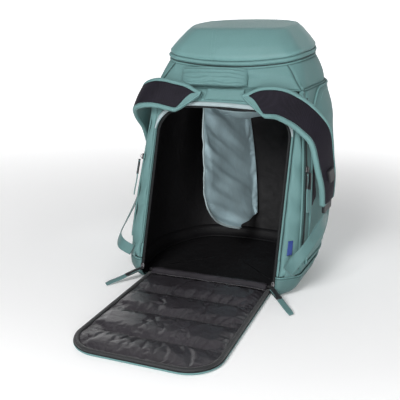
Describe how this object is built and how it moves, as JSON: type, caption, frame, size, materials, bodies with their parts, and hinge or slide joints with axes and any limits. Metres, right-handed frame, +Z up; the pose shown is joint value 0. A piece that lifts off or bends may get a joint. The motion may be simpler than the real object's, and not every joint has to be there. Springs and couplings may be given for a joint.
{
  "type": "ski boot backpack",
  "caption": "Ski boot backpack standing open, its back panel folded down as a mat in front of a divided boot compartment, with shoulder straps and a zipped top lid.",
  "frame": {"origin": "middle of the base's underside, on the floor", "axes": "+Z up, the opening and the folded-down mat towards -Y, +X to the right as seen when facing the opening"},
  "size_m": [0.517, 0.8085, 0.5842],
  "materials": {
    "dark_green_base": "coated heavy nylon, matt",
    "green_fabric": "woven nylon, matt",
    "grey_binding": "folded binding tape",
    "teal_lining": "light lining taffeta",
    "green_webbing": "woven polyester webbing",
    "dark_metal": "dark satin",
    "zip_tape": "zip tape with moulded coil",
    "black_lining": "coated nylon lining with a soft sheen",
    "label": "woven blank tab",
    "black_plastic": "moulded acetal",
    "foam": "plain stiffening sheet",
    "black_mesh": "spacer mesh"
  },
  "bodies": {
    "bag": {"base_tray": "dark_green_base", "collar": "green_fabric", "divider_binding": "grey_binding", "divider_curtain": "teal_lining", "edge_strip_left": "green_fabric", "edge_strip_right": "green_fabric", "face_frame": "green_fabric", "far_panel": "green_fabric", "far_pocket": "green_fabric", "far_zip": "zip_tape", "floor_lining": "black_lining", "label_tab": "label", "lid_pocket_floor": "teal_lining", "mat_sill": "green_fabric", "opening_binding": "grey_binding", "opening_zip_tape": "zip_tape", "rim_zip_tape": "zip_tape", "side_mesh_left": "black_mesh", "side_mesh_right": "black_mesh", "side_panel_left": "green_fabric", "side_panel_right": "green_fabric", "side_pocket_left": "green_fabric", "side_pocket_right": "green_fabric", "side_zip_left": "zip_tape", "side_zip_right": "zip_tape", "strap_anchor_left": "green_webbing", "strap_anchor_right": "green_webbing", "wall_lining": "black_lining", "yoke_panel": "green_fabric"},
    "mat": {"mat_board": "foam", "mat_cover": "green_fabric", "mat_lining": "black_lining", "mat_zip_tape": "zip_tape"},
    "lid": {"lid_dome": "green_fabric", "lid_welt": "green_fabric", "lid_zip_tape": "zip_tape"},
    "grab_handle": {"grab_handle": "green_fabric"},
    "far_zip_slider": {"far_slider": "dark_metal"},
    "far_zip_pull": {"far_pull": "green_webbing"},
    "main_zip_slider_right": {"main_slider_right": "dark_metal"},
    "main_zip_pull_right": {"main_pull_right": "green_webbing"},
    "side_zip_slider_right": {"side_slider_right": "dark_metal"},
    "side_zip_pull_right": {"side_pull_right": "green_webbing"},
    "sternum_slider_right": {"sternum_slider_right": "black_plastic"},
    "strap_right": {"ladder_lock_right": "black_plastic", "shoulder_strap_right": "green_fabric", "strap_mesh_right": "black_mesh", "strap_webbing_right": "green_webbing"},
    "main_zip_slider_left": {"main_slider_left": "dark_metal"},
    "main_zip_pull_left": {"main_pull_left": "green_webbing"},
    "side_zip_slider_left": {"side_slider_left": "dark_metal"},
    "side_zip_pull_left": {"side_pull_left": "green_webbing"},
    "sternum_slider_left": {"sternum_slider_left": "black_plastic"},
    "strap_left": {"ladder_lock_left": "black_plastic", "shoulder_strap_left": "green_fabric", "strap_mesh_left": "black_mesh", "strap_webbing_left": "green_webbing"}
  },
  "joints": [
    {"name": "mat_hinge", "type": "hinge", "parent": "bag", "child": "mat", "pos_m": [0, -0.172, 0.02], "axis": [-1, 0, 0], "range_deg": [0, 108.5]},
    {"name": "lid_hinge", "type": "hinge", "parent": "bag", "child": "lid", "pos_m": [0, 0.201, 0.546], "axis": [-1, 0, 0], "range_deg": [0, 100]},
    {"name": "grab_handle_hinge", "type": "hinge", "parent": "bag", "child": "grab_handle", "pos_m": [-0.03, -0.04986, 0.47579], "axis": [-1, 0, 0], "range_deg": [0, 45]},
    {"name": "main_zip_slide_right", "type": "slide", "parent": "bag", "child": "main_zip_slider_right", "axis": [0, 0.3173, 0.9483], "range_m": [0, 0.26]},
    {"name": "main_zip_pull_hinge_right", "type": "hinge", "parent": "main_zip_slider_right", "child": "main_zip_pull_right", "pos_m": [0.1575, -0.20172, 0.02573], "axis": [-0.718, -0.6961, 0], "range_deg": [0, 70]},
    {"name": "side_zip_slide_right", "type": "slide", "parent": "bag", "child": "side_zip_slider_right", "axis": [-0.0944, 0.2601, 0.9609], "range_m": [-0.05, 0.1]},
    {"name": "side_zip_pull_hinge_right", "type": "hinge", "parent": "side_zip_slider_right", "child": "side_zip_pull_right", "pos_m": [0.20484, -0.09397, 0.25799], "axis": [-0.4596, -0.8676, 0.1897], "range_deg": [0, 25]},
    {"name": "strap_swing_right", "type": "hinge", "parent": "bag", "child": "strap_right", "pos_m": [0.052, -0.08, 0.401], "axis": [0.354, -0.2695, -0.8956], "range_deg": [0, 90]},
    {"name": "sternum_slide_right", "type": "slide", "parent": "strap_right", "child": "sternum_slider_right", "axis": [-0.1231, -0.3134, 0.9416], "range_m": [-0.012, 0.012]},
    {"name": "main_zip_slide_left", "type": "slide", "parent": "bag", "child": "main_zip_slider_left", "axis": [0, 0.3173, 0.9483], "range_m": [0, 0.26]},
    {"name": "main_zip_pull_hinge_left", "type": "hinge", "parent": "main_zip_slider_left", "child": "main_zip_pull_left", "pos_m": [-0.1575, -0.20172, 0.02573], "axis": [-0.718, 0.6961, 0], "range_deg": [0, 70]},
    {"name": "side_zip_slide_left", "type": "slide", "parent": "bag", "child": "side_zip_slider_left", "axis": [0.0944, 0.2601, 0.9609], "range_m": [-0.05, 0.1]},
    {"name": "side_zip_pull_hinge_left", "type": "hinge", "parent": "side_zip_slider_left", "child": "side_zip_pull_left", "pos_m": [-0.20484, -0.09397, 0.25799], "axis": [-0.4596, 0.8676, -0.1897], "range_deg": [0, 75]},
    {"name": "strap_swing_left", "type": "hinge", "parent": "bag", "child": "strap_left", "pos_m": [-0.052, -0.08, 0.401], "axis": [0.354, 0.2695, 0.8956], "range_deg": [0, 110]},
    {"name": "sternum_slide_left", "type": "slide", "parent": "strap_left", "child": "sternum_slider_left", "axis": [-0.0684, 0.7608, -0.6454], "range_m": [-0.012, 0.012]},
    {"name": "far_zip_slide", "type": "slide", "parent": "bag", "child": "far_zip_slider", "axis": [-0.9976, 0.0691, 0.0011], "range_m": [0, 0.045]},
    {"name": "far_zip_pull_hinge", "type": "hinge", "parent": "far_zip_slider", "child": "far_zip_pull", "pos_m": [0.05071, 0.23846, 0.31675], "axis": [0.9983, -0.0577, 0], "range_deg": [0, 75]}
  ]
}
